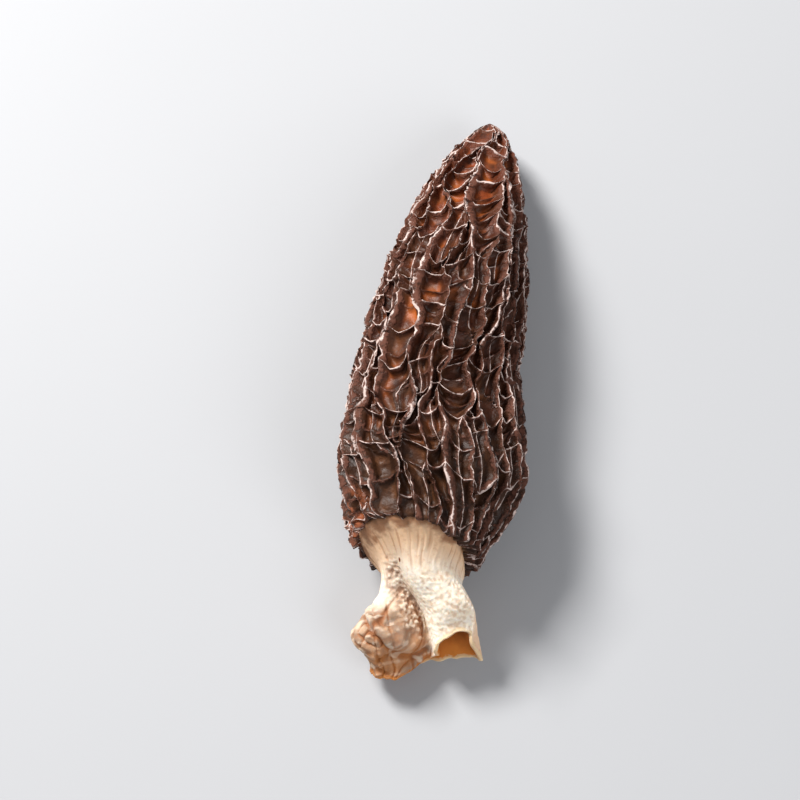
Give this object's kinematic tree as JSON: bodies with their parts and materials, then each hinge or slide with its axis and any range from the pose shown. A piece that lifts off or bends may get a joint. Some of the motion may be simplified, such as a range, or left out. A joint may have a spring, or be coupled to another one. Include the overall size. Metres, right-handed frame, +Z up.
{
  "type": "morel mushroom",
  "caption": "Dried morel mushroom lying on its side: a long conical brown cap with a raised honeycomb net, hollow inside, on a short pale stem with a folded cut end.",
  "frame": {"origin": "On the surface that the morel lies on, under the middle of its bounding box.", "axes": "+Z is up from the surface. +Y runs along the morel from the stem's cut end to the cap's tip. +X is to the right, seen from above with the tip pointing away, and is the side that the tip bends to."},
  "size_m": [0.0372, 0.1156, 0.031],
  "materials": {
    "cap_flesh": "satin",
    "stem_flesh": "matte"
  },
  "bodies": {
    "root": {"cap": "cap_flesh", "stem": "stem_flesh"}
  },
  "joints": []
}
